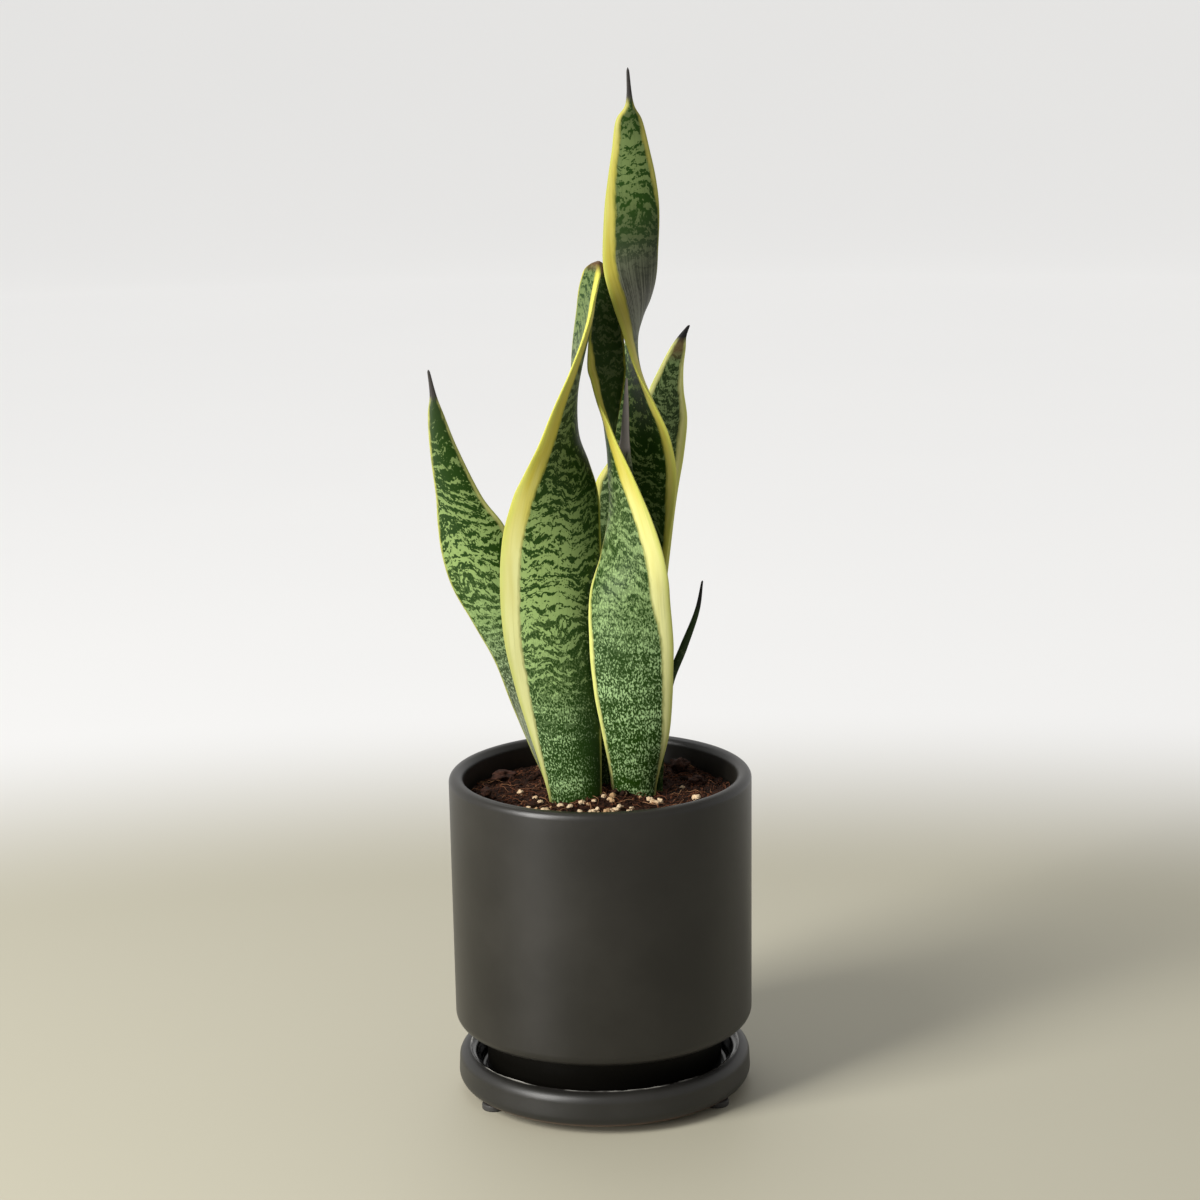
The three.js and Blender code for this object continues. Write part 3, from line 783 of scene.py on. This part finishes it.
leafColors = {
    "light": (0.205, 0.295, 0.092),
    "dark": (0.010, 0.033, 0.001),
    "mint": (0.225, 0.335, 0.16),  # light flecks of the speckled foot
    "greyLight": (0.27, 0.265, 0.215),
    "greyDark": (0.055, 0.055, 0.042),
    "cream": (0.60, 0.60, 0.26),
    "gold": (0.42, 0.36, 0.05),
    "lime": (0.40, 0.43, 0.07),
    "olive": (0.13, 0.15, 0.02),
    "brown": (0.13, 0.08, 0.035),
}


def leafMaterial(name, tipColor):
    s = Shader(name)
    across, along, rim = s.attr("across"), s.attr("along"), s.attr("rim")
    tone, mottle, grey = s.attr("tone"), s.attr("mottle"), s.attr("grey")
    layer = s.math("ADD", s.math("MULTIPLY", s.attr("face"), 37.0), s.math("MULTIPLY", s.attr("seed"), 13.7))

    def pattern(acrossScale, alongScale, detail, roughness, value=None, shift=0.0):
        place = s.vector(s.math("MULTIPLY", across, acrossScale),
                         s.math("MULTIPLY", along if value is None else value, alongScale),
                         s.math("ADD", layer, shift))
        return s.noise(place, 1.0, detail, roughness)

    # share of the skin that stays light: a noise value above this is dark
    limit = s.span(s.attr("cover"), 0.0, 1.0, 0.78, 0.22)

    # cross bands: wavy rows of short dashes
    swing = s.span(pattern(0.07, 0.04, 1.0, 0.4, shift=3.0), 0.0, 1.0, -9.0, 9.0)
    zigzag = s.span(pattern(0.26, 0.08, 2.0, 0.55, shift=7.0), 0.0, 1.0, -2.6, 2.6)
    bandAlong = s.math("ADD", s.math("ADD", along, swing), zigzag)
    rows = s.math("SINE", s.math("MULTIPLY", bandAlong, 1.25))
    dash = pattern(0.34, 0.62, 3.0, 0.62, bandAlong, 11.0)
    cluster = pattern(0.05, 0.10, 1.0, 0.5, bandAlong, 17.0)
    fleck = pattern(1.3, 0.7, 2.0, 0.6, shift=19.0)
    bandValue = s.math("ADD", s.math("MULTIPLY", dash, 0.62), s.math("MULTIPLY", cluster, 0.22))
    bandValue = s.math("ADD", bandValue, s.math("MULTIPLY", fleck, 0.30))
    bandValue = s.math("ADD", bandValue, s.span(rows, -1.0, 1.0, -0.115, -0.025))
    bandMask = s.step(s.math("SUBTRACT", bandValue, limit), -0.02, 0.03)

    # fine speckle towards the foot: small upright flecks, in lighter and darker patches
    speck = pattern(1.6, 0.85, 3.0, 0.6, shift=23.0)
    patch = pattern(0.05, 0.16, 2.0, 0.5, shift=29.0)
    speckValue = s.math("ADD", s.math("MULTIPLY", speck, 0.95), s.math("MULTIPLY", patch, 0.3))
    speckMask = s.step(s.math("SUBTRACT", speckValue, limit), 0.03, 0.20)

    streak = pattern(1.5, 0.03, 2.0, 0.6, shift=31.0)
    mask = s.add("Mix", {0: mottle, 2: bandMask, 3: speckMask}, data_type="FLOAT").outputs[0]
    streakMask = s.step(s.math("ADD", streak, s.math("MULTIPLY", fleck, 0.25)), 0.52, 0.74)
    mask = s.add("Mix", {0: s.step(grey, 0.3, 0.9), 2: mask, 3: streakMask}, data_type="FLOAT").outputs[0]
    shade = s.add("CombineColor", {0: tone, 1: tone, 2: tone}).outputs[0]
    light = s.mix(s.math("MULTIPLY", mottle, 0.8), leafColors["light"], leafColors["mint"])
    light = s.mix(grey, light, leafColors["greyLight"])
    light = s.mix(1.0, light, shade, "MULTIPLY")
    dark = s.mix(grey, leafColors["dark"], leafColors["greyDark"])
    light = s.mix(s.math("MULTIPLY", s.step(streak, 0.5, 0.8), 0.3), light, dark)
    skinTone = s.mix(mask, light, dark)
    skinTone = s.mix(s.math("MULTIPLY", s.attr("brown"), 0.85), skinTone, leafColors["brown"])

    # yellow margin: cream where broad and low, gold above, lime at the very edge, olive inside
    ragged = s.span(pattern(0.9, 0.22, 3.0, 0.6, shift=41.0), 0.0, 1.0, -0.8, 0.8)
    inside = s.math("ADD", rim, ragged)
    marginMask = s.step(inside, -0.45, 0.55)
    inner = s.step(inside, 0.1, 1.5)
    cloud = pattern(0.22, 0.03, 2.0, 0.5, shift=43.0)
    golden = s.math("ADD", s.attr("gold"), s.span(cloud, 0.25, 0.75, -0.25, 0.25), True)
    yellow = s.mix(golden, leafColors["cream"], leafColors["gold"])
    outermost = s.step(s.attr("edge"), 0.82, 0.97)
    yellow = s.mix(s.math("MULTIPLY", outermost, 0.6), yellow, leafColors["lime"])
    yellow = s.mix(inner, s.mix(0.6, yellow, leafColors["olive"]), yellow)
    yellow = s.mix(s.math("MULTIPLY", s.step(streak, 0.52, 0.75), 0.2), yellow, leafColors["olive"])
    bright = s.attr("bright")
    glow = s.add("CombineColor", {0: bright, 1: bright, 2: bright}).outputs[0]
    color = s.mix(marginMask, skinTone, s.mix(1.0, yellow, glow, "MULTIPLY"))
    color = s.mix(s.attr("tip"), color, tipColor)

    grain = pattern(3.0, 0.06, 2.0, 0.5, shift=51.0)
    ripple = pattern(0.5, 0.5, 2.0, 0.5, shift=53.0)
    height = s.math("ADD", s.math("MULTIPLY", grain, 0.5), s.math("MULTIPLY", ripple, 0.5))
    rough = s.span(mask, 0.0, 1.0, 0.52, 0.45)
    s.link(Base_Color=color, Roughness=rough, Normal=s.bump(height, 0.35, 0.0003))
    s.skin.inputs["Specular IOR Level"].default_value = 0.15
    return s.material


for node, leaf in leaves.items():
    mesh = leafMesh(node.replace("leaf", "blade"), leaf)
    newPiece(node.replace("leaf", "blade"), mesh, "leaf", leafMaterial(node + "Skin", leaf["tip"][1]), node)
print("leaves ready")


soil = {
    "unevenness": 0.7,
    "moundHeight": 3.2,
    "moundSpread": 24,
    "radius": 56.5,
    "rings": 150,
    "segments": 320,
    "dark": (0.007, 0.0035, 0.002),
    "brown": (0.028, 0.011, 0.006),
    "red": (0.105, 0.038, 0.018),
    "tan": (0.25, 0.13, 0.065),
}


def soilHeight(x, y):
    # mm above the mean level, x and y in mm from the pot's axis
    waves = math.sin(x / 9 + 1) * math.cos(y / 11) + 0.6 * math.sin(x / 5 - y / 6)
    fromMound = math.hypot(x, y - soil["moundSpread"] / 2) / soil["moundSpread"]
    return soil["unevenness"] * waves + soil["moundHeight"] * math.exp(-fromMound * fromMound)


def soilRough(x, y):
    clods = noise.fractal((x / 5, y / 5, 2.0), 0.9, 2.1, 4)
    crumbs = abs(noise.noise((x / 1.3, y / 1.3, 8.0)))
    return soilHeight(x, y) + 0.9 * clods - 0.9 * crumbs


def soilMaterial(name):
    s = Shader(name)
    spot = s.place()
    shade = s.attr("shade")
    coarse = s.noise(spot, 260.0, 3.0, 0.6)
    fine = s.noise(spot, 1600.0, 3.0, 0.65)
    tone = s.mix(s.step(coarse, 0.35, 0.7), soil["dark"], soil["brown"])
    tone = s.mix(s.math("MULTIPLY", s.step(fine, 0.52, 0.72), 0.6), tone, soil["red"])
    tone = s.mix(s.step(shade, 0.55, 1.0), tone, soil["red"])
    tone = s.mix(s.step(shade, 1.2, 2.0), tone, soil["tan"])
    s.link(Base_Color=tone, Roughness=s.span(fine, 0.3, 0.7, 0.75, 0.95), Normal=s.bump(fine, 0.7, 0.0006))
    s.skin.inputs["Specular IOR Level"].default_value = 0.1
    return s.material


def makeSoil(material):
    low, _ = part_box("soil")
    points = [(potAxis.x, potAxis.y, soilTop + soilRough(0, 0) * mm)]
    rings, segments = soil["rings"], soil["segments"]
    for i in range(1, rings + 1):
        radius = soil["radius"] * i / rings
        for j in range(segments):
            angle = 2 * math.pi * j / segments
            x, y = radius * math.cos(angle), radius * math.sin(angle)
            points.append((x * mm + potAxis.x, y * mm + potAxis.y, soilTop + soilRough(x, y) * mm))
    floor = low.z / mm
    lower = [(soil["radius"], 80), *arc(soil["radius"] - 8, floor + 8, 8, 0, -90, 8)]
    for radius, height in lower:
        for j in range(segments):
            angle = 2 * math.pi * j / segments
            points.append((radius * mm * math.cos(angle) + potAxis.x,
                           radius * mm * math.sin(angle) + potAxis.y, height * mm))
    faces = [(0, 1 + j, 1 + (j + 1) % segments) for j in range(segments)]
    for i in range(rings + len(lower) - 1):
        for j in range(segments):
            a, b = 1 + i * segments + j, 1 + i * segments + (j + 1) % segments
            faces.append((a, a + segments, b + segments, b))
    last = 1 + (rings + len(lower) - 1) * segments
    faces.append([last + j for j in range(segments)][::-1])
    mesh = meshFrom("soil_bed", points, faces)
    shades = [noise.noise((p[0] * 300, p[1] * 300, 5.0)) * 0.5 + 0.35 for p in points]
    paint(mesh, "shade", shades)
    return newPiece("soil_bed", mesh, "soil", material, "soil")


def lumpForm(level):
    bm = bmesh.new()
    bmesh.ops.create_icosphere(bm, subdivisions=level, radius=0.5)
    points = np.array([v.co for v in bm.verts])
    faces = [[v.index for v in f.verts] for f in bm.faces]
    bm.free()
    return points, faces


def roughened(points, seed, amount, scale):
    shift = Vector((seed * 7.1, seed * 3.7, seed * 1.3))
    swell = [1 + amount * noise.fractal(Vector(p) * scale + shift, 0.8, 2.0, 3) for p in points]
    return points * np.array(swell)[:, None]


fullTurn = 6.283


def scatter(name, count, form, place, seed, slot, material, size, shade, flat=0.8, rough=0.45):
    # many small lumps in one mesh
    dice = random.Random(seed)
    form, faces = form
    points, allFaces, shades = [], [], []
    for _ in range(count):
        x, y = place(dice)
        reach = size(dice)
        if math.hypot(x, y) > soil["radius"] - reach * 0.7:
            continue
        shape = roughened(form, dice.random() * 90, rough, 1.9)
        wide, deep, tall = dice.uniform(0.8, 1.3), dice.uniform(0.7, 1.1), flat * dice.uniform(0.7, 1.2)
        shape = shape * np.array([wide, deep, tall]) * reach
        heading = Matrix.Rotation(dice.random() * fullTurn, 3, "Z")
        tilt = Matrix.Rotation(dice.uniform(-0.6, 0.6), 3, "X")
        turn = np.array(heading @ tilt)
        shape = shape @ turn.T
        lift = soilRough(x, y) + reach * flat * 0.22
        shape = (shape + np.array([x, y, lift])) * mm + np.array([potAxis.x, potAxis.y, soilTop])
        base = len(points)
        points.extend(shape)
        allFaces.extend([[base + k for k in face] for face in faces])
        shades.extend([shade(dice)] * len(shape))
    mesh = meshFrom(name, points, allFaces)
    paint(mesh, "shade", shades)
    return newPiece(name, mesh, slot, material)


def anywhere(dice):
    radius = soil["radius"] * math.sqrt(dice.random())
    angle = dice.random() * 2 * math.pi
    return radius * math.cos(angle), radius * math.sin(angle)


def inFront(dice):
    # round the feet of the two front leaves
    return dice.gauss(2, 20), dice.gauss(-20, 9)


def makeFibres(material, count, seed):
    dice = random.Random(seed)
    sides, steps = 5, 10
    points, faces, shades = [], [], []
    for _ in range(count):
        x, y = anywhere(dice)
        heading = dice.random() * fullTurn
        length = dice.uniform(4, 13)
        thick = dice.uniform(0.10, 0.2)
        bow = dice.uniform(-0.9, 0.9)
        rise = dice.uniform(0.2, 1.6)
        base = len(points)
        shadeValue = dice.uniform(0.7, 1.9)
        for i in range(steps + 1):
            share = i / steps
            turn = heading + bow * (share - 0.5)
            px = x + length * (share - 0.5) * math.cos(turn)
            py = y + length * (share - 0.5) * math.sin(turn)
            inside = min(1.0, (soil["radius"] - 1) / max(1e-6, math.hypot(px, py)))
            px, py = px * inside, py * inside
            pz = soilRough(px, py) + 0.25 + rise * math.sin(math.pi * share)
            slim = thick * (1 - 0.7 * abs(2 * share - 1) ** 3)
            side = Vector((-math.sin(turn), math.cos(turn), 0))
            for k in range(sides):
                angle = 2 * math.pi * k / sides
                offset = side * math.cos(angle) * slim + Vector((0, 0, 1)) * math.sin(angle) * slim
                points.append(((px + offset.x) * mm + potAxis.x, (py + offset.y) * mm + potAxis.y,
                               (pz + offset.z) * mm + soilTop))
                shades.append(shadeValue)
        for i in range(steps):
            for k in range(sides):
                a, b = base + i * sides + k, base + i * sides + (k + 1) % sides
                faces.append((a, b, b + sides, a + sides))
        faces.append([base + k for k in range(sides)][::-1])
        faces.append([base + steps * sides + k for k in range(sides)])
    mesh = meshFrom("soil_fibres", points, faces)
    paint(mesh, "shade", shades)
    return newPiece("soil_fibres", mesh, "soil", material)


pumice = {"light": (0.60, 0.45, 0.28), "tan": (0.38, 0.23, 0.11), "dust": (0.16, 0.08, 0.04)}


def pumiceMaterial():
    s = Shader("pumiceStone")
    spot = s.place()
    shade = s.attr("shade")
    cloud = s.noise(spot, 500.0, 3.0, 0.6)
    pores = s.noise(spot, 2600.0, 2.0, 0.6)
    tone = s.mix(s.step(cloud, 0.45, 0.8), pumice["light"], pumice["tan"])
    tone = s.mix(s.step(shade, 0.3, 1.0), tone, pumice["tan"])
    tone = s.mix(s.math("MULTIPLY", s.step(pores, 0.58, 0.7), 0.55), tone, pumice["dust"])
    s.link(Base_Color=tone, Roughness=s.span(cloud, 0.3, 0.7, 0.7, 0.9), Normal=s.bump(pores, 0.6, 0.0004))
    return s.material


def barkMaterial():
    s = Shader("barkChunk")
    spot = s.place()
    grain = s.noise(s.add("Mapping", {"Vector": spot, "Scale": (1.0, 3.5, 1.5)}).outputs[0], 420.0, 4.0, 0.65)
    tone = s.mix(s.step(grain, 0.35, 0.65), (0.012, 0.006, 0.004), (0.06, 0.025, 0.016))
    tone = s.mix(s.math("MULTIPLY", s.step(grain, 0.62, 0.8), 0.7), tone, (0.16, 0.08, 0.05))
    s.link(Base_Color=tone, Roughness=s.span(grain, 0.3, 0.7, 0.75, 0.9), Normal=s.bump(grain, 0.7, 0.0006))
    s.skin.inputs["Specular IOR Level"].default_value = 0.15
    return s.material


def makeLump(node, name, slot, material, seed, amount, scale, shade):
    # fills the box of its node
    low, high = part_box(node)
    form, faces = lumpForm(4)
    shape = roughened(form, seed, amount, scale)
    shape = (shape - shape.min(0)) / (shape.max(0) - shape.min(0))
    shape = np.array(low) + shape * np.array(high - low)
    mesh = meshFrom(name, shape, faces)
    paint(mesh, "shade", [shade] * len(shape))
    return newPiece(name, mesh, slot, material, node)


def rootMaterial():
    s = Shader("creepingStem")
    spot = s.place()
    rings = s.noise(spot, 120.0, 3.0, 0.6)
    fine = s.noise(spot, 900.0, 3.0, 0.6)
    tone = s.mix(s.step(rings, 0.35, 0.7), (0.52, 0.40, 0.20), (0.66, 0.55, 0.33))
    tone = s.mix(s.math("MULTIPLY", s.step(fine, 0.55, 0.75), 0.5), tone, (0.25, 0.14, 0.07))
    s.link(Base_Color=tone, Roughness=s.span(fine, 0.3, 0.7, 0.55, 0.75), Normal=s.bump(fine, 0.4, 0.0005))
    return s.material


soilSkin = soilMaterial("soilMix")
makeSoil(soilSkin)
scatter("soil_clods", 300, lumpForm(2), anywhere, 5, "soil", soilSkin, lambda d: 1.3 + 2.2 * d.random() ** 3,
        lambda d: d.uniform(0, 0.7))
scatter("soil_crumbs", 2600, lumpForm(1), anywhere, 6, "soil", soilSkin, lambda d: d.uniform(0.4, 1.4),
        lambda d: d.uniform(0, 1.2))
makeFibres(soilSkin, 420, 7)
pumiceSkin = pumiceMaterial()
scatter("small_granules", 46, lumpForm(3), inFront, 8, "pumice", pumiceSkin, lambda d: d.uniform(1.2, 3.0),
        lambda d: d.uniform(0, 1.0), 0.9, 0.5)
for number in range(1, 17):
    makeLump(f"pumice_{number}", f"granule_{number}", "pumice", pumiceSkin, number, 0.42, 1.9, 0.15)
barkSkin = barkMaterial()
for number in range(1, 5):
    makeLump(f"bark_chunk_{number}", f"bark_{number}", "bark", barkSkin, 60 + number, 0.55, 1.8, 0)
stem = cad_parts["rhizome"]
stem.data.materials.clear()
stem.data.materials.append(rootMaterial())
print("soil, granules and bark ready")
